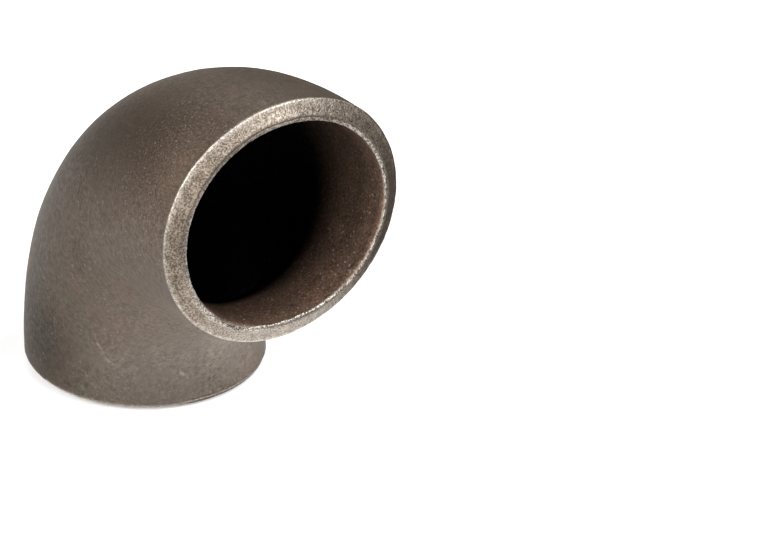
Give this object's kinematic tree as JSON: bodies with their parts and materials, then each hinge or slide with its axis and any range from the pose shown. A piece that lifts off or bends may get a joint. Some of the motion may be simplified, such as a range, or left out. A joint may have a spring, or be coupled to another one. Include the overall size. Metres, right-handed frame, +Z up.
{
  "type": "pipe elbow",
  "caption": "Right-angle long-radius butt-weld pipe elbow in seamless carbon steel, with weld bevels and narrow root faces at both open ends.",
  "frame": {"origin": "centre of the lower end's root face, on the lower end's axis", "axes": "+Z up the lower end's axis into the elbow, +X out of the upper end along its axis; the bend lies in the XZ plane"},
  "size_m": [0.0692, 0.0424, 0.0692],
  "materials": {
    "shot_blasted_steel": "matte"
  },
  "bodies": {
    "root": {"elbow_body": "shot_blasted_steel"}
  },
  "joints": []
}
